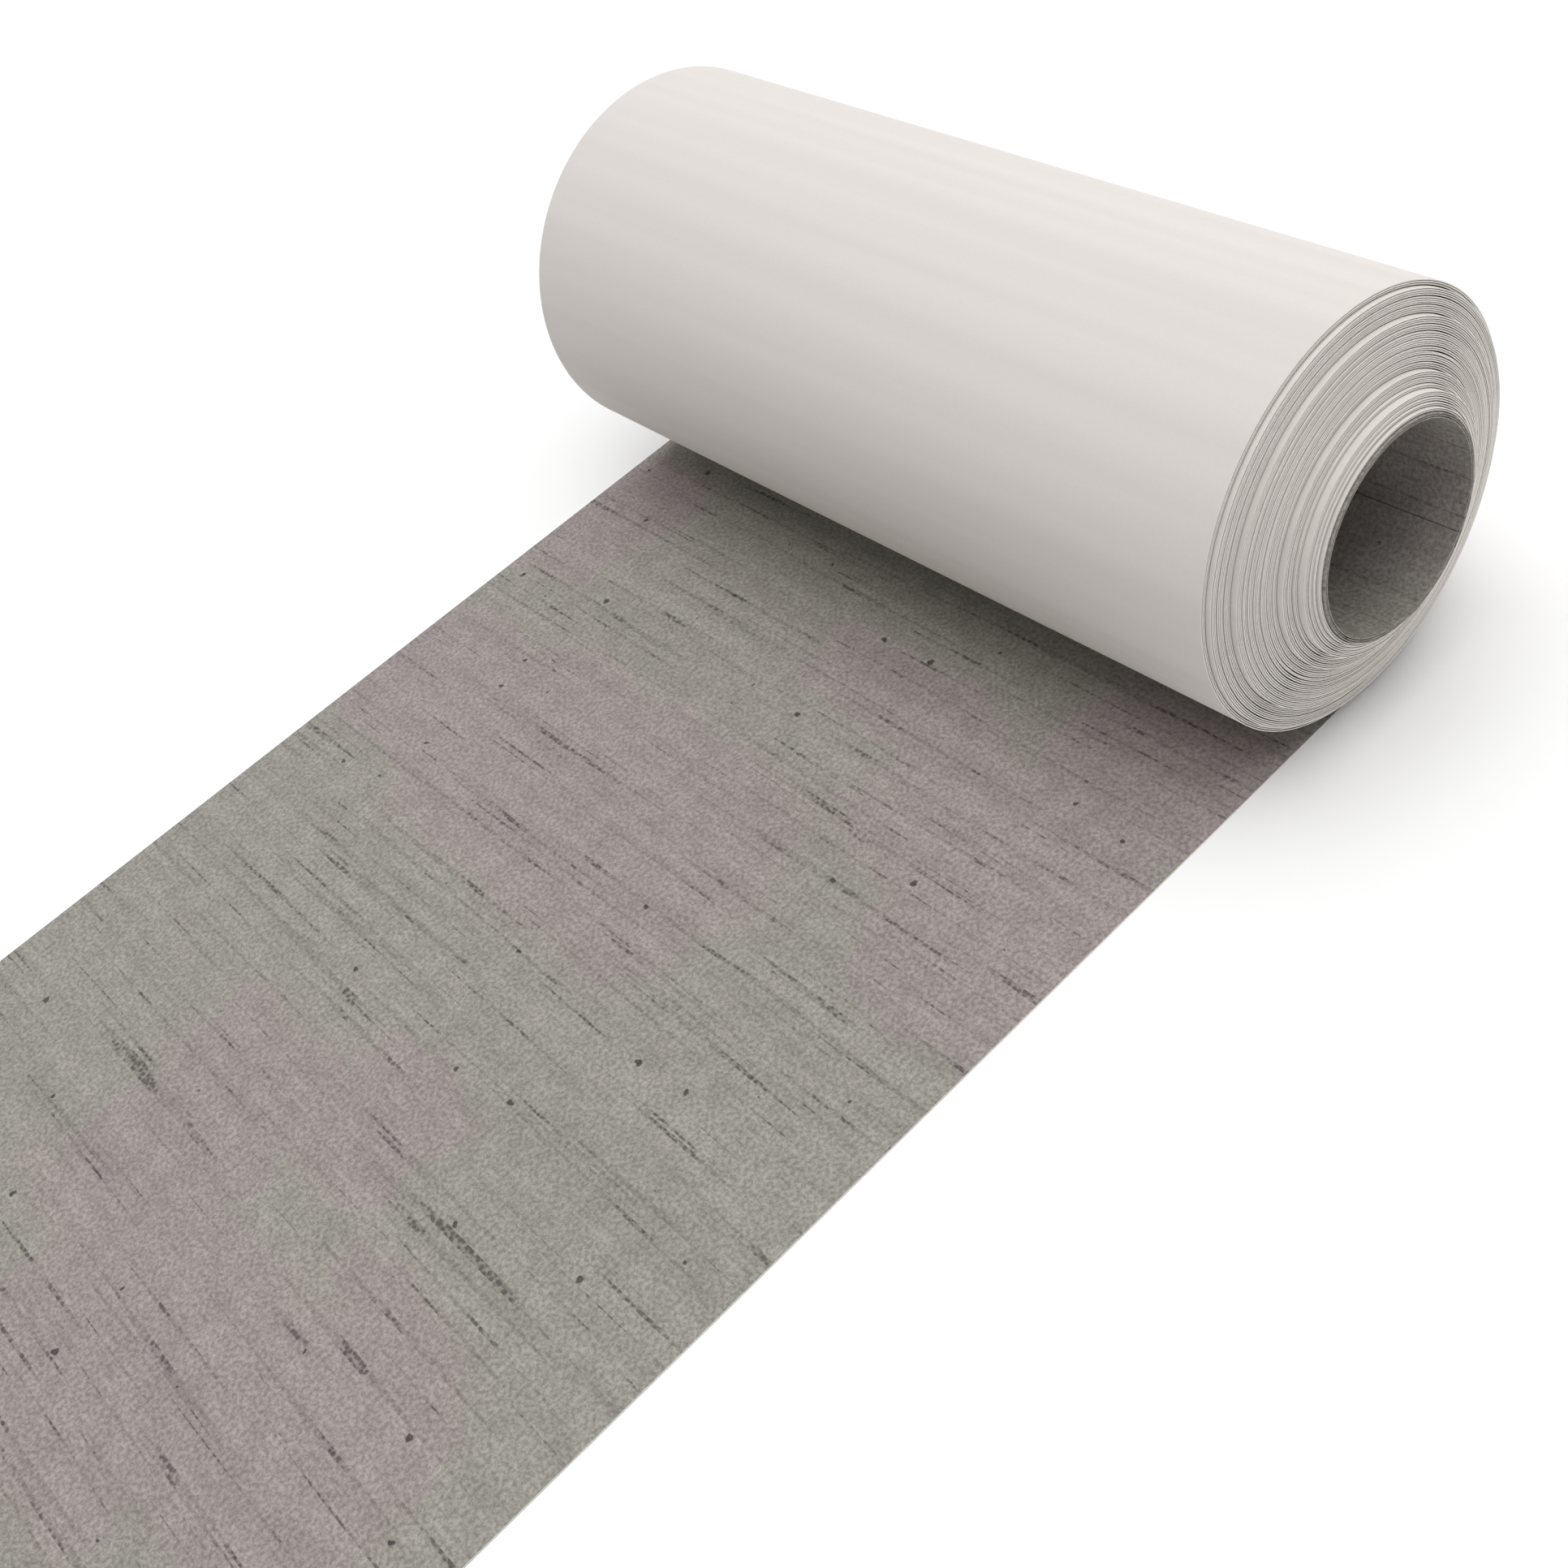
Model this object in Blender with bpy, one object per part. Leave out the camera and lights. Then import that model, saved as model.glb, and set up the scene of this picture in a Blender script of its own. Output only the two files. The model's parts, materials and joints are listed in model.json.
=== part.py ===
"""Roll of printed backdrop paper, wound without a core, with its first stretch laid out flat.

The web is one long strip of paper. It lies flat on the floor, print up, runs under the roll,
climbs the roll's back and winds inwards, so that the white back faces out and the print faces
the bore. The turns have slipped along the axis, so one end of the roll is a blunt stepped cone.

Frame: +Z up, X along the roll's axis with the cone at +X, and the laid sheet runs towards -Y.
The origin is the middle of the object's footprint on the floor. Metres.
"""

import math

import bmesh
import bpy
from mathutils import Matrix

# Driving dimensions
WEB_WIDTH = 0.530
PAPER = 0.0006
TURN_PITCH = 0.001014
ROLL_RADIUS = 0.1155
LAID_LENGTH = 1.100
FREE_END_LENGTH = 0.250
GAP = 0.0003
FIRST_TURN_SLIP = 0.0018
INNER_END_ANGLE = math.radians(-37.2)
INNER_END_SLOT = math.radians(20)

# Packs of turns that slipped together, from the outside inwards: body, turns in the pack, and
# how far the pack stands out past the pack around it.
PACKS = [
    ("wound", 2, 0.0003),
    ("wound", 4, 0.0029),
    ("wound", 4, 0.0007),
    ("wound", 4, 0.0008),
    ("middle", 4, 0.0035),
    ("middle", 3, 0.0007),
    ("middle", 3, 0.0007),
    ("middle", 4, 0.0008),
    ("middle", 4, 0.0007),
    ("middle", 3, 0.0007),
    ("middle", 3, 0.0006),
    ("inner", 3, 0.0032),
    ("inner", 3, 0.0006),
    ("inner", 2, 0.0016),
    ("core", 3, 0.0037),
    ("core", 2, 0.0009),
    ("core", 2, 0.0009),
    ("starter", 2, 0.0018),
    ("starter", 2, 0.0011),
]

RING_STEPS = 48
SPIRAL_STEPS = 96

# Worked out from the driving dimensions
TURNS = sum(turns for body, turns, step in PACKS) + 2
BORE_RADIUS = ROLL_RADIUS - PAPER - TURN_PITCH * TURNS
TURN_DROP = PAPER + GAP
PACKS_RADIUS = ROLL_RADIUS - TURN_DROP - PAPER - GAP - 0.0001
PACK_PITCH = (PACKS_RADIUS - BORE_RADIUS - PAPER - GAP) / (TURNS - 2)
CONE_DEPTH = FIRST_TURN_SLIP + sum(step for body, turns, step in PACKS)
WEB_MIDDLE_X = -CONE_DEPTH / 2
ROLL_Y = (LAID_LENGTH - ROLL_RADIUS) / 2
FREE_END_Y = ROLL_Y - LAID_LENGTH + FREE_END_LENGTH

PAPER_WHITE = ("paper_white", (0.83, 0.81, 0.78), 0.85)
PRINT_GREY = ("print_grey", (0.31, 0.30, 0.28), 0.75)


def clear_scene():
    for obj in list(bpy.data.objects):
        bpy.data.objects.remove(obj)


def material(name, colour, roughness):
    found = bpy.data.materials.get(name)
    if found:
        return found
    made = bpy.data.materials.new(name)
    made.use_nodes = True
    shader = made.node_tree.nodes["Principled BSDF"]
    shader.inputs["Base Color"].default_value = (*colour, 1.0)
    shader.inputs["Roughness"].default_value = roughness
    shader.inputs["Metallic"].default_value = 0.0
    return made


def empty(name, location, parent=None):
    made = bpy.data.objects.new(name, None)
    bpy.context.scene.collection.objects.link(made)
    made.parent = parent
    made.location = location
    return made


def place(name, bm, finish, location, parent, smooth=True):
    bmesh.ops.recalc_face_normals(bm, faces=bm.faces)
    mesh = bpy.data.meshes.new(name)
    bm.to_mesh(mesh)
    bm.free()
    if smooth:
        mesh.shade_smooth()
        mesh.set_sharp_from_angle(angle=math.radians(30))
    mesh.materials.append(material(*finish))
    obj = bpy.data.objects.new(name, mesh)
    bpy.context.scene.collection.objects.link(obj)
    obj.parent = parent
    obj.location = location
    return obj


def flat_strip(name, length, parent, location):
    """A flat length of the web, its top at z 0 of its origin, running from y 0 towards -Y."""
    bm = bmesh.new()
    size = Matrix.Diagonal((WEB_WIDTH, length, PAPER, 1))
    shift = Matrix.Translation((0, -length / 2, -PAPER / 2))
    bmesh.ops.create_cube(bm, size=1.0, matrix=shift @ size)
    return place(name, bm, PRINT_GREY, location, parent, smooth=False)


def turned_pack(name, outer, inner, finish, parent, slip):
    """A pack of whole turns as one ring: its cross-section spun round the roll's axis."""
    bm = bmesh.new()
    corners = [(-1, outer), (1, outer), (1, inner), (-1, inner)]
    ring = [bm.verts.new((side * WEB_WIDTH / 2, radius, 0)) for side, radius in corners]
    edges = [bm.edges.new((ring[i], ring[(i + 1) % 4])) for i in range(4)]
    bmesh.ops.spin(
        bm, geom=ring + edges, cent=(0, 0, 0), axis=(1, 0, 0), dvec=(0, 0, 0),
        angle=math.tau, steps=RING_STEPS, use_merge=True, use_duplicate=False,
    )
    bmesh.ops.remove_doubles(bm, verts=bm.verts, dist=0.00001)
    return place(name, bm, finish, (slip, 0, 0), parent)


def open_turn(name, first, last, drop, outer, finish, parent, slip, steps):
    """One turn of the web that doesn't close on itself, from angle first to angle last.

    An angle is taken in the YZ plane from +Y towards +Z. The outer radius falls evenly by drop
    in each full turn, so the turn is a short stretch of a spiral.
    """
    bm = bmesh.new()
    sections = []
    for i in range(steps + 1):
        angle = first + (last - first) * i / steps
        radius = outer - drop * (angle - first) / math.tau
        corners = [(-1, radius), (1, radius), (1, radius - PAPER), (-1, radius - PAPER)]
        sections.append([
            bm.verts.new((side * WEB_WIDTH / 2, r * math.cos(angle), r * math.sin(angle)))
            for side, r in corners
        ])
    for near, far in zip(sections, sections[1:]):
        for i in range(4):
            j = (i + 1) % 4
            bm.faces.new((near[i], near[j], far[j], far[i]))
    bm.faces.new(sections[0])
    bm.faces.new(sections[-1])
    return place(name, bm, finish, (slip, 0, 0), parent)


def laid_sheet(root):
    """The stretch that lies on the floor, and its free end, which hinges up on its top face."""
    flat_strip("laid_run", LAID_LENGTH - FREE_END_LENGTH - GAP, root, (0, ROLL_Y - GAP, PAPER))
    hinge = empty("free_end_hinge", (0, FREE_END_Y, PAPER), root)
    flat_strip("free_end", FREE_END_LENGTH - GAP, hinge, (0, -GAP, 0))


def outer_turn(roll):
    """The first turn: it leaves the floor under the axis, climbs the back and comes round."""
    bottom = math.radians(-90)
    nearly_round = math.radians(358)
    open_turn(
        "outer_turn", bottom, bottom + nearly_round, TURN_DROP, ROLL_RADIUS,
        PAPER_WHITE, roll, FIRST_TURN_SLIP, SPIRAL_STEPS,
    )


def wound_packs(roll):
    """The packs, each standing out past the one around it, and the web's inner end."""
    slip = FIRST_TURN_SLIP
    outer = PACKS_RADIUS
    count = {}
    parent, parent_slip, body_now = roll, 0.0, None
    for body, turns, step in PACKS:
        slip += step
        if body != body_now:
            parent = empty(body + "_slide", (slip - parent_slip, 0, 0), parent)
            parent_slip, body_now = slip, body
        count[body] = count.get(body, 0) + 1
        inner = outer - turns * PACK_PITCH
        finish = PRINT_GREY if (body, count[body]) == ("starter", 2) else PAPER_WHITE
        name = "%s_pack_%d" % (body, count[body])
        turned_pack(name, outer, inner + GAP, finish, parent, slip - parent_slip)
        outer = inner
    open_turn(
        "inner_end_turn", INNER_END_ANGLE + INNER_END_SLOT - math.tau, INNER_END_ANGLE, 0.0,
        BORE_RADIUS + PAPER, PRINT_GREY, parent, slip - parent_slip, RING_STEPS,
    )


def build():
    clear_scene()
    root = empty("laid_web", (WEB_MIDDLE_X, 0, 0))
    roll = empty("roll_axis", (0, ROLL_Y, ROLL_RADIUS), root)
    laid_sheet(root)
    outer_turn(roll)
    wound_packs(roll)


build()
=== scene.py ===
"""A coreless roll of printed backdrop paper, its first stretch laid out flat on a studio floor.

The whole object is one long web of paper: concrete print on one face, white on the other. It is
made here in the order in which the web runs, from its free end inwards to the middle of the roll.
"""

import json
import math

import bpy
import numpy as np
from mathutils import Matrix, Vector


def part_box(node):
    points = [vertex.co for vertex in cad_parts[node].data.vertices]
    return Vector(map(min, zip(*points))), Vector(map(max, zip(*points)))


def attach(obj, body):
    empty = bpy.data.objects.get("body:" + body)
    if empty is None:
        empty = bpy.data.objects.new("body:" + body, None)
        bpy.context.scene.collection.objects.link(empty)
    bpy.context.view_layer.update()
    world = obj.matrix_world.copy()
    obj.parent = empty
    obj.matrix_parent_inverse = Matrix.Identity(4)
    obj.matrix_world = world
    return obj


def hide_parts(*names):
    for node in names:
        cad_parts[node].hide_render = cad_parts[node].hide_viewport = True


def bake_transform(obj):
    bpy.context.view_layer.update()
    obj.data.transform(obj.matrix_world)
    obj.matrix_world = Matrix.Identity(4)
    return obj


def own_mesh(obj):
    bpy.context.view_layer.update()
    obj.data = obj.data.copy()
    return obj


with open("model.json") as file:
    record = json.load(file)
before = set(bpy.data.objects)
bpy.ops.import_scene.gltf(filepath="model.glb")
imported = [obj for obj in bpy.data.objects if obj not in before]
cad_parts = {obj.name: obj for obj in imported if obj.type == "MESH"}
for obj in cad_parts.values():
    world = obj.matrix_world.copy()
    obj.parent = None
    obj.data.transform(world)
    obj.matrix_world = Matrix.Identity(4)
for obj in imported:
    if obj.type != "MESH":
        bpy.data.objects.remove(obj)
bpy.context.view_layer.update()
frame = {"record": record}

# ---------------------------------------------------------------------------------------------
# The view. A camera on a tripod above the roll's coned end looks down across the roll at the
# laid sheet. It leans sideways, which sets the roll high in the frame.

laid_low, laid_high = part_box("laid_run")
turn_low, turn_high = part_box("outer_turn")
WEB_MIDDLE_X = (laid_low[0] + laid_high[0]) / 2
WEB_WIDTH = laid_high[0] - laid_low[0]
CONTACT_Y = (turn_low[1] + turn_high[1]) / 2     # the line where the roll meets the laid sheet
ROLL_RADIUS = 0.1155

view_from = Vector((WEB_MIDDLE_X + 0.77094, CONTACT_Y - 0.58966, 0.78648))
view_right = Vector((0.65048, 0.71134, -0.26622)).normalized()
view_up = Vector((-0.41090, 0.62437, 0.66432)).normalized()
view_back = view_right.cross(view_up).normalized()
view_up = view_back.cross(view_right)

lens = bpy.data.cameras.new("tripod_camera")
lens.sensor_width = 36.0
lens.lens = 46.43
lens.shift_x = -0.00996
lens.shift_y = -0.00134
lens.clip_start = 0.02
lens.clip_end = 60.0
camera = bpy.data.objects.new("tripod_camera", lens)
bpy.context.scene.collection.objects.link(camera)
camera.matrix_world = Matrix((
    (view_right.x, view_up.x, view_back.x, view_from.x),
    (view_right.y, view_up.y, view_back.y, view_from.y),
    (view_right.z, view_up.z, view_back.z, view_from.z),
    (0, 0, 0, 1),
))
bpy.context.scene.camera = camera
bpy.context.scene.view_settings.view_transform = "Standard"

# ---------------------------------------------------------------------------------------------
# The studio. A matte white floor under one big light bank, high up in a hall whose pale walls are
# brightest behind the roll and whose ceiling is dark, so the roll falls slowly from its light
# top to its grey belly.


def linear(code):
    """An sRGB hex colour as linear red, green, blue and alpha, by the sRGB curve."""
    value = np.array([int(code[i:i + 2], 16) for i in (1, 3, 5)]) / 255
    curve = np.where(value > 0.04045, ((value + 0.055) / 1.055) ** 2.4, value / 12.92)
    return (*(float(v) for v in curve), 1.0)


def add(tree, kind, links=None, **settings):
    """Adds a node. settings are its properties, links gives each input a socket or a value."""
    made = tree.nodes.new(kind)
    for name, value in settings.items():
        setattr(made, name, value)
    for name, value in (links or {}).items():
        if isinstance(value, bpy.types.NodeSocket):
            tree.links.new(value, made.inputs[name])
        else:
            made.inputs[name].default_value = value
    return made


def set_mesh(name, points, faces, smooth=True):
    """A mesh object with its place in its mesh, from rows of points and tuples of corners."""
    mesh = bpy.data.meshes.new(name)
    mesh.from_pydata(np.asarray(points, float).reshape(-1, 3).tolist(), [], faces)
    mesh.polygons.foreach_set("use_smooth", np.full(len(mesh.polygons), smooth))
    mesh.update()
    obj = bpy.data.objects.new(name, mesh)
    bpy.context.scene.collection.objects.link(obj)
    return obj


def plain_shader(name):
    """A new material with its output joined to one Principled shader."""
    made = bpy.data.materials.new(name)
    made.use_nodes = True
    return made, made.node_tree, made.node_tree.nodes["Principled BSDF"]


FLOOR_HALF_SIDE = 16.0
FLOOR_TOP_Z = -0.0002     # just under the sheet, so that the two faces never flicker
floor = set_mesh(
    "studio_floor",
    [(x * FLOOR_HALF_SIDE, y * FLOOR_HALF_SIDE, FLOOR_TOP_Z)
     for x, y in ((-1, -1), (1, -1), (1, 1), (-1, 1))],
    [(0, 1, 2, 3)], smooth=False,
)
# Matte emulsion on a smooth board: no grain shows at this distance.
floor_paint, tree, shader = plain_shader("matte_white_floor_paint")
shader.inputs["Base Color"].default_value = linear("#FCFCFC")
shader.inputs["Roughness"].default_value = 0.9
shader.inputs["Specular IOR Level"].default_value = 0.0
floor.data.materials.append(floor_paint)

# The walls' glow is 0.73, less 0.69 times the square of the steepness, plus 0.318 times how far
# the look turns towards the wall behind the roll.
room = bpy.data.worlds.new("pale_room")
room.use_nodes = True
tree = room.node_tree
direction = add(tree, "ShaderNodeTexCoord")
apart = add(tree, "ShaderNodeSeparateXYZ", {"Vector": direction.outputs["Generated"]})
steep = add(tree, "ShaderNodeMath", {0: apart.outputs["Z"], 1: apart.outputs["Z"]},
            operation="MULTIPLY")
walls = add(tree, "ShaderNodeMath", {0: steep.outputs[0], 1: -0.69, 2: 0.73},
            operation="MULTIPLY_ADD")
glow = add(tree, "ShaderNodeMath", {0: apart.outputs["Y"], 1: 0.318, 2: walls.outputs[0]},
           operation="MULTIPLY_ADD")
tree.links.new(glow.outputs[0], tree.nodes["Background"].inputs["Strength"])
tree.nodes["Background"].inputs["Color"].default_value = (1.0, 1.0, 1.0, 1.0)
bpy.context.scene.world = room

# The bank is 23 m across and 20 m up, so every shadow is soft and the floor is lit evenly.
BANK_HEIGHT = 20.23
bank_lamp = bpy.data.lights.new("overhead_light_bank", "AREA")
bank_lamp.shape = "DISK"
bank_lamp.size = 23.0
bank_lamp.energy = 3781.0
light_bank = bpy.data.objects.new("overhead_light_bank", bank_lamp)
light_bank.location = (0.0, CONTACT_Y, BANK_HEIGHT)
bpy.context.scene.collection.objects.link(light_bank)

# ---------------------------------------------------------------------------------------------
# The laid run. The stretch of the web between the free end and the roll, flat on the floor with
# its print up. Calendered paper 0.6 mm thick, gravure printed as board-marked concrete.

PAPER = 0.0006
SEAM_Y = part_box("free_end")[1][1]     # where the laid run turns into the free end
SOFT_CORNER = 0.00013                 # the knife leaves each cut corner a little rounded

PRINT_GREEN_GREY = "#949189"
PRINT_MAUVE_GREY = "#978E8B"
BACK_WHITE = "#E1DCD7"
CUT_WHITE = "#EAE5DF"

# Mauve tint in the print: middle across the web, middle along it, half width and half length, mm.
MAUVE_PATCHES = [
    (-62, 185, 140, 82), (-239, 192, 75, 62), (-262, 362, 55, 62), (45, 347, 65, 30),
    (170, 292, 100, 50), (210, 222, 65, 40), (205, 385, 75, 52), (-64, -98, 60, 85),
    (20, -188, 85, 80), (25, -23, 48, 40), (135, -143, 75, 75), (-150, -330, 90, 70),
    (100, -420, 120, 60), (-60, -530, 100, 40),
]


def concrete_print(name, patches, follows_web, run_depth=0.52):
    """Gravure print of board-marked concrete: flat ink on matte paper, with no relief of its own.

    Two close grey tints in wide patches, a sandy grain, and board marks across the web: faint
    lines, darker runs of dots on some of them, and round pores, all drawn in the web's plane.
    run_depth is how much those runs darken the ink.
    """
    made, tree, shader = plain_shader(name)
    if follows_web:
        place = add(tree, "ShaderNodeAttribute", attribute_name="web_place").outputs["Vector"]
    else:
        place = add(tree, "ShaderNodeTexCoord").outputs["Object"]

    def scaled(x, y):
        return add(tree, "ShaderNodeVectorMath", {0: place, 1: (x, y, 0.0)},
                   operation="MULTIPLY").outputs[0]

    def noise(vector, scale, detail=0.0, roughness=0.5):
        return add(tree, "ShaderNodeTexNoise",
                   {"Vector": vector, "Scale": scale, "Detail": detail, "Roughness": roughness},
                   noise_dimensions="2D").outputs

    def ramp(value, low, high, to_low=0.0, to_high=1.0):
        return add(tree, "ShaderNodeMapRange",
                   {"Value": value, "From Min": low, "From Max": high, "To Min": to_low,
                    "To Max": to_high}, interpolation_type="SMOOTHSTEP").outputs[0]

    def maths(operation, a, b, c=0.5):
        return add(tree, "ShaderNodeMath", {0: a, 1: b, 2: c}, operation=operation).outputs[0]

    # Sand: grains of 1 to 3 mm, drawn about twice the real size so that they show.
    sand = noise(place, 420.0, 2.0, 0.75)["Fac"]
    grain = ramp(sand, 0.22, 0.78, 0.72, 1.30)
    cloud = ramp(noise(place, 60.0, 3.0, 0.6)["Fac"], 0.3, 0.7, 0.94, 1.06)

    # Tint patches 60 to 280 mm across, with boxy outlines as boards leave them. Their borders
    # are frayed by about 15 mm, and each grain near a border takes the one tint or the other.
    fray = add(tree, "ShaderNodeVectorMath",
               {0: noise(place, 14.0, 2.0)["Color"], 1: (0.5, 0.5, 0.5)}, operation="SUBTRACT")
    frayed = add(tree, "ShaderNodeVectorMath",
                 {0: fray.outputs[0], 1: (0.085, 0.045, 0.0), 2: place}, operation="MULTIPLY_ADD")
    nearest = 9.0
    for x, y, half_x, half_y in patches:
        stretch = add(tree, "ShaderNodeVectorMath",
                      {0: frayed.outputs[0], 1: (1000 / half_x, 1000 / half_y, 0.0),
                       2: (-x / half_x, -y / half_y, 0.0)}, operation="MULTIPLY_ADD")
        square = add(tree, "ShaderNodeVectorMath",
                     {0: stretch.outputs[0], 1: stretch.outputs[0]}, operation="MULTIPLY")
        reach = add(tree, "ShaderNodeVectorMath", {0: square.outputs[0]}, operation="LENGTH")
        nearest = maths("MINIMUM", reach.outputs["Value"], nearest)
    border = maths("MULTIPLY", maths("SUBTRACT", sand, 0.5), 1.4)
    if patches:
        mauve = ramp(maths("ADD", nearest, border), 1.22, 0.84)
    else:
        mauve = ramp(maths("ADD", noise(place, 6.0, 1.0)["Fac"], maths("MULTIPLY", border, 0.15)),
                     0.38, 0.58, 0.1, 0.6)
    tint = add(tree, "ShaderNodeMix",
               {"Factor": mauve, "A": linear(PRINT_GREEN_GREY), "B": linear(PRINT_MAUVE_GREY)},
               data_type="RGBA")

    # Board marks: faint stripes, and lines 2 mm wide that run 80 to 250 mm across the web.
    stripes = ramp(noise(scaled(3.5, 90.0), 1.0, 2.0, 0.6)["Fac"], 0.3, 0.7, 0.95, 1.05)
    lines = noise(scaled(4.5, 215.0), 1.0, 1.0, 0.5)["Fac"]
    thin = ramp(noise(scaled(5.0, 310.0), 1.0)["Fac"], 0.42, 0.54)
    line = maths("MULTIPLY", ramp(lines, 0.52, 0.66), thin)
    # Dark runs 20 to 50 mm long on the strongest lines, broken into dots 2 to 3 mm wide.
    run = ramp(noise(scaled(27.0, 90.0), 1.0, 1.0)["Fac"], 0.50, 0.66)
    speck = add(tree, "ShaderNodeTexVoronoi",
                {"Vector": place, "Scale": 310.0, "Randomness": 1.0}, voronoi_dimensions="2D")
    dots = ramp(speck.outputs["Distance"], 0.60, 0.15)
    marks = maths("MULTIPLY", line, maths("MULTIPLY_ADD", dots, 0.6, 0.4))
    strong = maths("MULTIPLY", maths("MULTIPLY", ramp(lines, 0.56, 0.64), thin), run)
    dashes = maths("MULTIPLY", strong, maths("MULTIPLY_ADD", dots, 0.7, 0.3))
    # Pores: about one in each 70 mm square, 2 to 4 mm wide, their rims uneven.
    uneven = add(tree, "ShaderNodeVectorMath",
                 {0: noise(place, 300.0)["Color"], 1: (0.0022, 0.0022, 0.0), 2: place},
                 operation="MULTIPLY_ADD")
    cell = add(tree, "ShaderNodeTexVoronoi",
               {"Vector": uneven.outputs[0], "Scale": 27.0, "Randomness": 1.0},
               voronoi_dimensions="2D")
    which = add(tree, "ShaderNodeSeparateColor", {"Color": cell.outputs["Color"]})
    pore_size = ramp(which.outputs["Red"], 0.60, 1.0, 0.0, 0.066)
    pores = ramp(maths("SUBTRACT", pore_size, cell.outputs["Distance"]), 0.0, 0.028)

    dark = grain
    for mask, depth in ((marks, 0.24), (dashes, run_depth), (pores, 0.74)):
        dark = maths("MULTIPLY", dark, ramp(mask, 0.0, 1.0, 1.0, 1.0 - depth))
    dark = maths("MULTIPLY", maths("MULTIPLY", dark, cloud), stripes)
    grey = add(tree, "ShaderNodeCombineColor", {"Red": dark, "Green": dark, "Blue": dark})
    ink = add(tree, "ShaderNodeMix",
              {"Factor": 1.0, "A": tint.outputs["Result"], "B": grey.outputs[0]},
              data_type="RGBA", blend_type="MULTIPLY")
    tree.links.new(ink.outputs["Result"], shader.inputs["Base Color"])
    shader.inputs["Roughness"].default_value = 0.72
    shader.inputs["Specular IOR Level"].default_value = 0.25
    # Paper tooth, drawn at 0.8 mm so that it shows at all.
    tooth = add(tree, "ShaderNodeBump",
                {"Height": noise(place, 1200.0, 2.0)["Fac"], "Distance": 0.00003,
                 "Strength": 0.35})
    tree.links.new(tooth.outputs["Normal"], shader.inputs["Normal"])
    return made


laid_print = concrete_print("concrete_print_laid", MAUVE_PATCHES, False)


def paper_back(name, code, fibres, painted_shade_stripes):
    """Uncoated white paper: fibres in a faint cloud, and soft stripes across the web that are
    painted shade, bands of shading drawn into its colour.

    fibres and the last argument say how much darker the darkest fibre and the darkest painted shade
    stripe are.
    """
    made, tree, shader = plain_shader(name)
    place = add(tree, "ShaderNodeAttribute", attribute_name="web_place").outputs["Vector"]
    fibre = add(tree, "ShaderNodeTexNoise",
                {"Vector": place, "Scale": 520.0, "Detail": 3.0, "Roughness": 0.6},
                noise_dimensions="2D")
    # Soft darker stripes across the web: painted shade, bands of shading drawn into the paper's
    # colour.
    wide = add(tree, "ShaderNodeVectorMath", {0: place, 1: (1.3, 62.0, 0.0)},
               operation="MULTIPLY")
    shade_stripe = add(tree, "ShaderNodeTexNoise", {"Vector": wide.outputs[0], "Scale": 1.0, "Detail": 2.0},
               noise_dimensions="2D")
    light = 1.0
    for pattern, depth in ((fibre, fibres), (shade_stripe, painted_shade_stripes)):
        part = add(tree, "ShaderNodeMapRange",
                   {"Value": pattern.outputs["Fac"], "From Min": 0.3, "From Max": 0.7,
                    "To Min": 1.0 - depth, "To Max": 1.0})
        light = add(tree, "ShaderNodeMath", {0: part.outputs[0], 1: light},
                    operation="MULTIPLY").outputs[0]
    grey = add(tree, "ShaderNodeCombineColor", {"Red": light, "Green": light, "Blue": light})
    ink = add(tree, "ShaderNodeMix", {"Factor": 1.0, "A": linear(code), "B": grey.outputs[0]},
              data_type="RGBA", blend_type="MULTIPLY")
    tree.links.new(ink.outputs["Result"], shader.inputs["Base Color"])
    shader.inputs["Roughness"].default_value = 0.82
    shader.inputs["Specular IOR Level"].default_value = 0.2
    tooth = add(tree, "ShaderNodeBump",
                {"Height": fibre.outputs["Fac"], "Distance": 0.00003, "Strength": 0.3})
    tree.links.new(tooth.outputs["Normal"], shader.inputs["Normal"])
    return made


# The last number of each is how deep its painted shade stripes are.
white_back = paper_back("uncoated_white_back", BACK_WHITE, 0.02, 0.045)
cut_edge = paper_back("knife_cut_edge", CUT_WHITE, 0.10, 0.06)


SHARP_DEGREES = 40        # edges that turn by more than this stay crisp


def paper_section(columns):
    """The web's cross-section as a closed ring of (across, inwards), outer face first.

    The outer and inner faces have so many columns, and each cut edge is a flat between two small
    chamfers. Also gives which face each step round the ring belongs to: 0 outer, 1 inner, 2 edge.
    """
    half, c = WEB_WIDTH / 2, SOFT_CORNER
    across = np.linspace(-half + c, half - c, columns + 1)
    ring = [(x, 0.0) for x in across] + [(half, c), (half, PAPER - c)]
    ring += [(x, PAPER) for x in across[::-1]] + [(-half, PAPER - c), (-half, c)]
    sides = [0] * columns + [2, 2, 2] + [1] * columns + [2, 2, 2]
    return np.array(ring), sides


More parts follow.
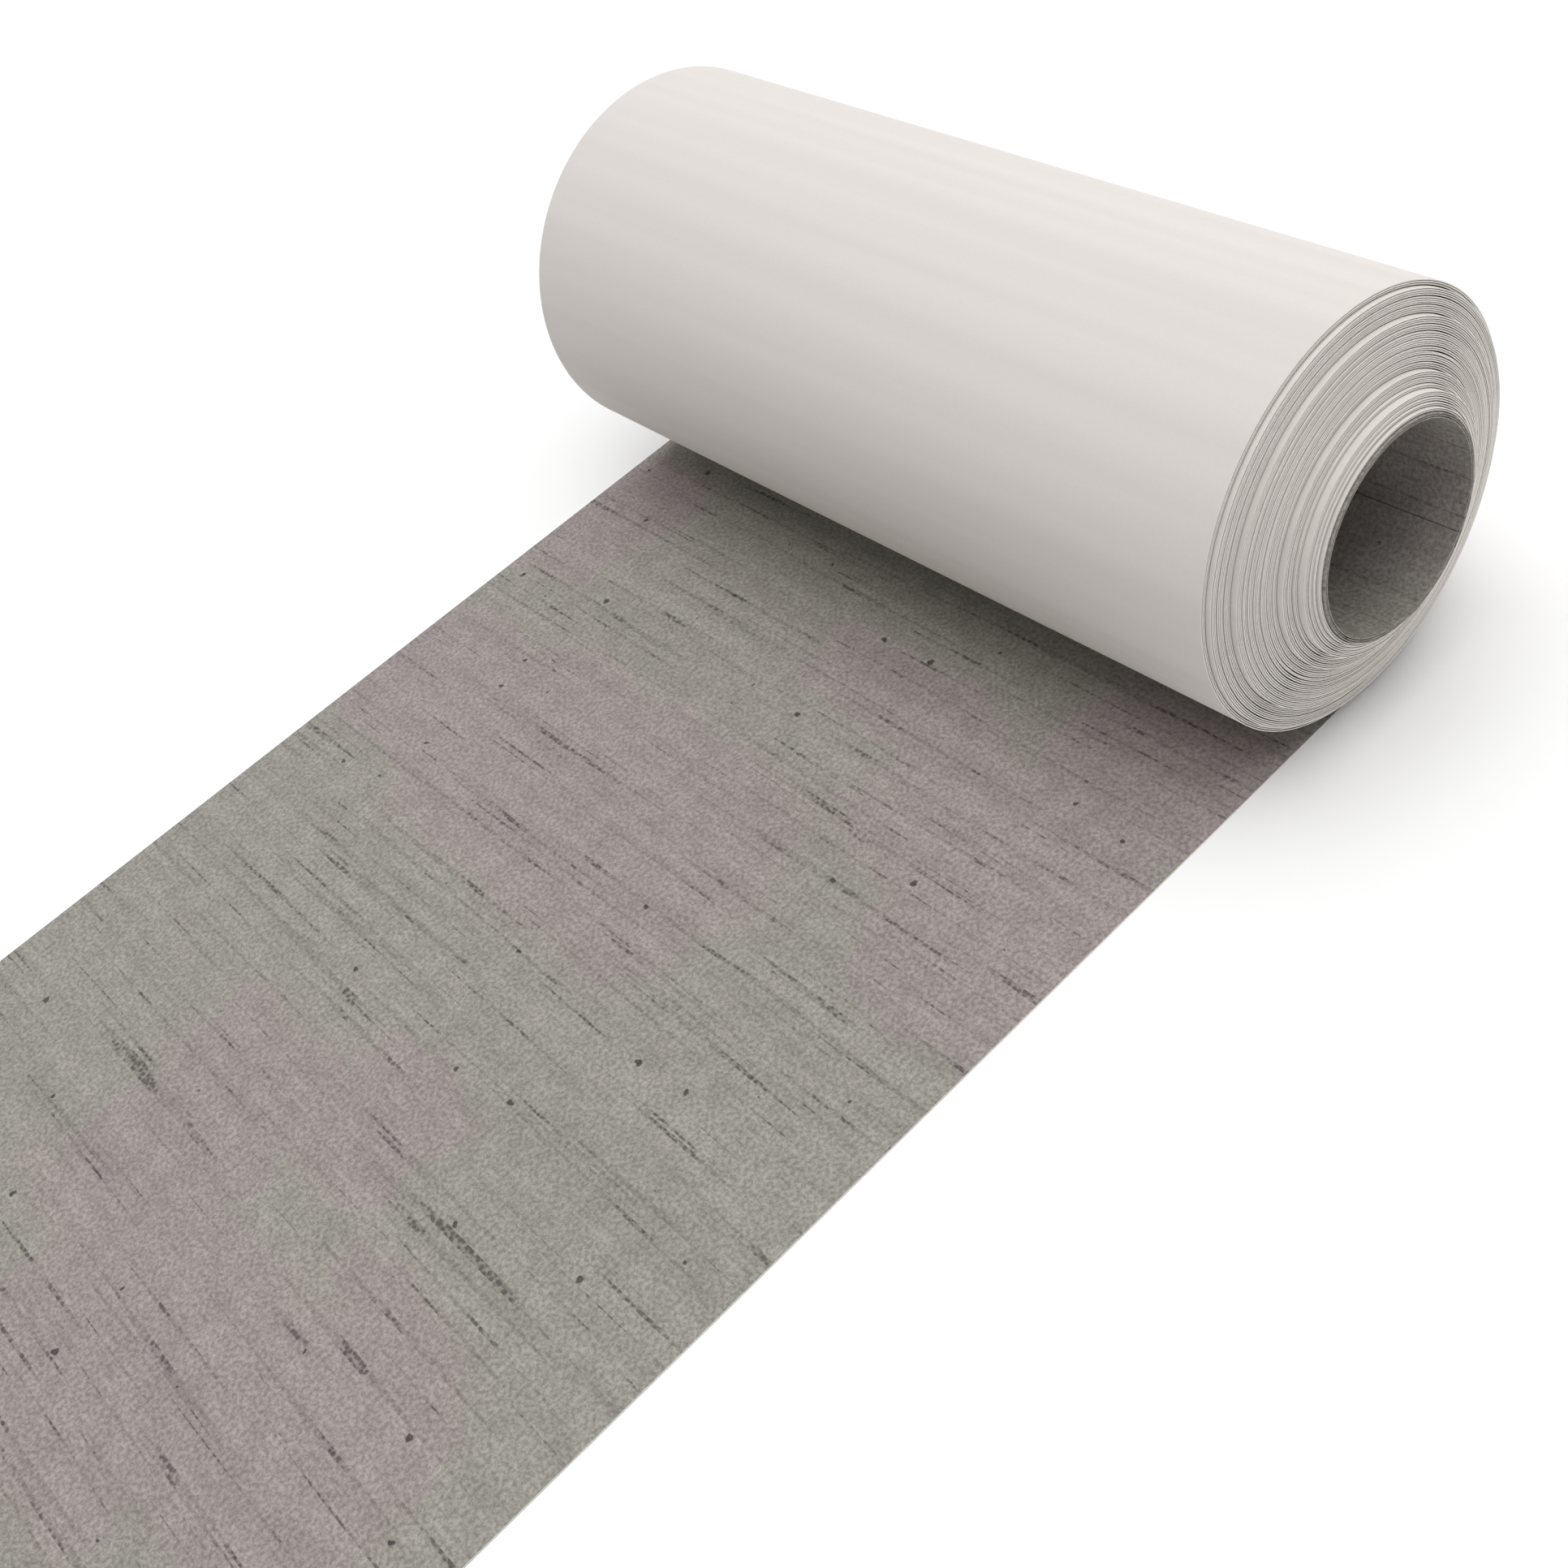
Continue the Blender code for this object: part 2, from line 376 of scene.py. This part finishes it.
def web_piece(name, path, inward, across_shift, along, columns, materials, lift=None):
    """A closed stretch of the web: the cross-section carried along a path in the YZ plane.

    path has the outer face's (y, z) at each station, inward the unit vector into the roll there,
    across_shift how far the web has slipped along the axis, and along the length run so far.
    """
    ring, sides = paper_section(columns)
    stations, corners = len(path), len(ring)
    points = np.empty((stations, corners, 3))
    points[:, :, 0] = WEB_MIDDLE_X + across_shift[:, None] + ring[None, :, 0]
    for axis in (0, 1):
        points[:, :, axis + 1] = path[:, None, axis] + inward[:, None, axis] * ring[None, :, 1]
    if lift is not None:
        points[:, :, 2] += lift(points[:, :, 0], points[:, :, 1])
    here = np.arange(stations - 1)[:, None] * corners
    there = here + corners
    corner = np.arange(corners)[None, :]
    following = (corner + 1) % corners
    quads = np.stack([here + corner, there + corner, there + following, here + following], -1)
    faces = [tuple(q) for q in quads.reshape(-1, 4).tolist()]
    faces.append(tuple(range(corners)))
    faces.append(tuple(range(stations * corners - 1, (stations - 1) * corners - 1, -1)))
    obj = set_mesh(name, points, faces)
    for one in materials:
        obj.data.materials.append(one)
    slots = np.tile(np.array(sides, dtype=np.int32), stations - 1)
    obj.data.polygons.foreach_set("material_index", np.append(slots, [2, 2]).astype(np.int32))
    place = obj.data.attributes.new("web_place", "FLOAT_VECTOR", "POINT")
    flat = np.zeros((stations, corners, 3))
    flat[:, :, 0] = WEB_MIDDLE_X + ring[None, :, 0]
    flat[:, :, 1] = along[:, None]
    place.data.foreach_set("vector", flat.reshape(-1).astype(np.float32))
    obj.data.set_sharp_from_angle(angle=math.radians(SHARP_DEGREES))
    return obj


def smooth(x):
    """0 below 0, 1 above 1, and a smooth rise between them: 3x squared less 2x cubed."""
    x = np.clip(x, 0, 1)
    return x * x * (3 - 2 * x)


COCKLE_UNIT = 0.00005     # the waves add up to between 0 and 3.2 of these
COCKLE_START = 0.15       # no waves this near to the roll, full ones at twice this from it


def cockle(x, y):
    """Slow waves up to 0.16 mm high that a sheet has after lying rolled, nil at the roll."""
    wave = np.sin(31 * x + 5 * y) * np.sin(11 * y + 2) + 0.6 * np.sin(17 * y - 9 * x + 1)
    return COCKLE_UNIT * (wave + 1.6) * smooth((CONTACT_Y - COCKLE_START - y) / COCKLE_START)


def flat_stretch(name, from_y, to_y, columns, rows, materials):
    """A flat stretch of the web, print up, from from_y back to to_y on the floor."""
    y = np.linspace(from_y, to_y, rows + 1)
    path = np.stack([y, np.zeros_like(y)], -1)
    inward = np.tile([0.0, 1.0], (rows + 1, 1))
    return web_piece(name, path, inward, np.zeros(rows + 1), y, columns, materials, cockle)


laid_run = flat_stretch("laid_run_web", SEAM_Y, CONTACT_Y, columns=53, rows=85,
                        materials=[white_back, laid_print, cut_edge])
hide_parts("laid_run")
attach(laid_run, "laid_sheet")
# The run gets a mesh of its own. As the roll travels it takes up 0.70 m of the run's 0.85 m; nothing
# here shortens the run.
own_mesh(laid_run)

# ---------------------------------------------------------------------------------------------
# The free end. The last 0.25 m of the same web, cut square, which one lifts by hand or with a
# batten.
# Lifted, it bends over its first 100 mm and stays flat beyond; here it is built lying flat.

FREE_END_LENGTH = 0.25
end_print = concrete_print("concrete_print_free_end", MAUVE_PATCHES, True)
free_end = flat_stretch("free_end_web", SEAM_Y - FREE_END_LENGTH, SEAM_Y, columns=53, rows=30,
                        materials=[white_back, end_print, cut_edge])
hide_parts("free_end")
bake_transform(free_end)

# ---------------------------------------------------------------------------------------------
# The outer turn. Past the contact line the web climbs the roll's back, and comes over the top
# and down the front with its white back out. It leaves the floor in a short ramp and then lies
# tight on the turns below it.

STATIONS_PER_TURN = 192
CLIMB = 0.0009            # how much closer to the axis the turn is once it has cleared the sheet
CLIMB_TURN = 0.15         # the ramp takes this much of the turn
BARE_GAP = 0.0003         # air between this turn and the roll below it
SLIT = 0.0003             # each stretch of the web stops this far short of the next one
INNER_END_TURN = 59.147   # the web's inner end, in turns from the contact line
END_ANGLE_TURN = INNER_END_TURN % 1

# Each pack of turns further in: its CAD node and the turns in it.
PACKS = [
    ("wound_pack_1", 2), ("wound_pack_2", 4), ("wound_pack_3", 4), ("wound_pack_4", 4),
    ("middle_pack_1", 4), ("middle_pack_2", 3), ("middle_pack_3", 3), ("middle_pack_4", 4),
    ("middle_pack_5", 4), ("middle_pack_6", 3), ("middle_pack_7", 3), ("inner_pack_1", 3),
    ("inner_pack_2", 3), ("inner_pack_3", 2), ("core_pack_1", 3), ("core_pack_2", 2),
    ("core_pack_3", 2), ("starter_pack_1", 2), ("starter_pack_2", 2), ("inner_end_turn", 1),
]
TIGHT_GAP = 0.00035       # air between two turns of one pack
LEAST_GAP = 0.00005       # air that is left where two turns lie closest
BORE_RISE = 0.0015        # how far the bore's middle lies above the roll's axis
OPENING_TURN = 0.12       # the wider gap at a pack's start opens and closes over this part turn
PULLED_GAP = 0.0004       # how far a turn has pulled away from the next one in the two slits
PULLED_TURN = 0.035       # and over how much of a turn to either side
TURN_SLOPE = 0.00007      # how much each turn of a pack stands out past the one around it
SLIP_TURN = 0.22          # a slip from one pack to the next takes this much of a turn
WANDER = 0.00007          # how far the edge wanders to either side of its place
WANDER_TURN = 0.31        # and after how much of a turn it changes its mind
TURN_SCATTER = 0.00016    # how far each turn as a whole lies out of line with its neighbours


def web_roll():
    """The whole wound web as a spiral: turn, outer radius, slip along the axis, length so far.

    Every turn lies one paper thickness and one gap inside the turn before it. The gap is tight
    inside a pack and wide in front of each pack's first turn, and it breathes a little round the
    roll. The slip rises by the pack's step at each pack's start, and wanders between.
    """
    n = STATIONS_PER_TURN
    count = int(round(INNER_END_TURN * n)) + 1
    turn = np.arange(count) / n
    chance = np.random.default_rng(11)
    starts, turns_so_far = [], 1.0
    for name, turns in PACKS:
        starts.append(turns_so_far if turns_so_far == 1.0 else turns_so_far + END_ANGLE_TURN)
        turns_so_far += turns
    first_radius = ROLL_RADIUS - CLIMB - PAPER - BARE_GAP
    radii = [first_radius] + [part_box(name)[1][2] - ROLL_RADIUS for name, _ in PACKS[1:-1]]
    radii.append(radii[-1] - (radii[-2] - radii[-1]))

    gap = np.full(count, TIGHT_GAP)
    # The tight gap itself wanders by a fifth, in step with neither the turns nor the packs.
    gap *= 1 + 0.2 * np.sin(2.7 * turn + 1.1) * np.sin(math.tau * turn * 1.37)
    # The inner turns sit a little high in the roll: each turn's gap is smaller above the axis.
    gap -= BORE_RISE / INNER_END_TURN * np.sin(math.tau * turn - math.pi / 2)
    for i in range(1, len(PACKS)):
        turns = PACKS[i - 1][1]
        extra = radii[i - 1] - radii[i] - turns * (PAPER + TIGHT_GAP)
        ramp = smooth((turn - starts[i]) / OPENING_TURN)
        ramp -= smooth((turn - starts[i] - 1) / OPENING_TURN)
        phase, lobes = chance.uniform(0, math.tau), chance.integers(1, 4)
        breath = 1 + 0.25 * np.sin(lobes * math.tau * turn + phase)
        gap += extra * ramp * breath
    # Two slits in middle_pack_5, where a turn has pulled away from the next.
    for middle in (0.38, 0.83):
        at = starts[8] + 2 + (middle - END_ANGLE_TURN)
        opened = np.exp(-((turn - at) / PULLED_TURN) ** 2)
        closed = np.exp(-((turn - at - 1) / PULLED_TURN) ** 2)
        gap += PULLED_GAP * opened - PULLED_GAP * closed
    # The last tenth of a turn lies close on the turn behind it.
    gap *= 1 - smooth((turn - INNER_END_TURN) / 0.1 + 1)
    gap = np.maximum(gap, LEAST_GAP)

    radius = np.empty(count)
    radius[:n] = ROLL_RADIUS - CLIMB * smooth(turn[:n] / CLIMB_TURN)
    radius[n:2 * n] = first_radius - (PAPER + TIGHT_GAP) * smooth((turn[n:2 * n] - 1.8) / 0.2)
    for start in range(2 * n, count, n):
        stop = min(start + n, count)
        radius[start:stop] = radius[start - n:stop - n] - PAPER - gap[start:stop]

    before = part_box("outer_turn")[1][0] - WEB_MIDDLE_X - WEB_WIDTH / 2
    slip = before * smooth(turn / 0.3)
    for (name, turns), start in zip(PACKS, starts):
        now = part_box(name)[1][0] - WEB_MIDDLE_X - WEB_WIDTH / 2
        slip += (now - before) * smooth((turn - start) / SLIP_TURN + 0.5)
        slip += TURN_SLOPE * (np.clip(turn - start, 0, turns)
                              - turns * smooth((turn - start - turns) / SLIP_TURN + 0.5))
        before = now
    knots = np.arange(0, INNER_END_TURN + 1, WANDER_TURN)
    slip += np.interp(turn, knots, chance.uniform(-WANDER, WANDER, len(knots))) * smooth(turn)
    each = chance.uniform(-TURN_SCATTER, TURN_SCATTER, 62)    # one for each turn, and two to spare
    whole = np.floor(turn - END_ANGLE_TURN).astype(int) + 1
    part = smooth(((turn - END_ANGLE_TURN) % 1) / 0.2)
    slip += each[whole] * part + each[whole - 1] * (1 - part)
    length = np.append(0.0, np.cumsum(radius[1:] * math.tau / n))
    return turn, radius, slip, length, dict(zip([name for name, _ in PACKS], starts))


web_turn, web_radius, web_slip, web_length, pack_start = web_roll()


def wound_stretch(name, first, last, columns, materials):
    """A stretch of the wound web between two turns, the angle growing from the contact line."""
    a, b = (int(round(t * STATIONS_PER_TURN)) for t in (first, last))
    turn = web_turn[a:b + 1].copy()
    turn[-1] -= SLIT / (math.tau * web_radius[b])
    radius, slip, length = (np.interp(turn, web_turn, v) for v in (web_radius, web_slip, web_length))
    angle = math.tau * turn - math.pi / 2
    out = np.stack([np.cos(angle), np.sin(angle)], -1)
    path = np.array([CONTACT_Y, ROLL_RADIUS]) + radius[:, None] * out
    return web_piece(name, path, -out, slip, CONTACT_Y + length, columns, materials)


roll_print = concrete_print("concrete_print_wound", [], True, 0.26)
wound_faces = [white_back, roll_print, cut_edge]
OUTER_STATIONS = STATIONS_PER_TURN - 1   # it stops short of where it goes under itself
outer_turn = wound_stretch("outer_turn_web", 0.0, OUTER_STATIONS / STATIONS_PER_TURN, 24,
                           wound_faces)
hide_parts("outer_turn")
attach(outer_turn, "outer_turn")

# ---------------------------------------------------------------------------------------------
# The packs. Inside the outer turn the web goes on winding inwards. Groups of two to four turns
# have slipped along the axis together, so the near end is a stepped cone and the far end a
# hollow one. Five of the steps are wide, and there the roll telescopes.

body_of_node = {node: body for body, nodes in frame["record"]["behaviour"]["bodies"].items()
                for node in nodes}


def add_pack(name, faces):
    """One pack as a closed stretch of web, riding on its node's body."""
    start = pack_start[name]
    stop = min((s for s in pack_start.values() if s > start), default=INNER_END_TURN)
    piece = wound_stretch(f"{name}_web", start, stop, 1, faces)
    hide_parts(name)
    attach(piece, body_of_node[name])


# The innermost three turns take the dark print on their white backs and cut edges as well as on
# their inner faces: painted shade, for the shadow deep in the bore.
print_and_painted_shade_faces = [roll_print, roll_print, roll_print]
for pack_name, _ in PACKS:
    innermost = pack_name in ("starter_pack_2", "inner_end_turn")
    add_pack(pack_name, print_and_painted_shade_faces if innermost else wound_faces)
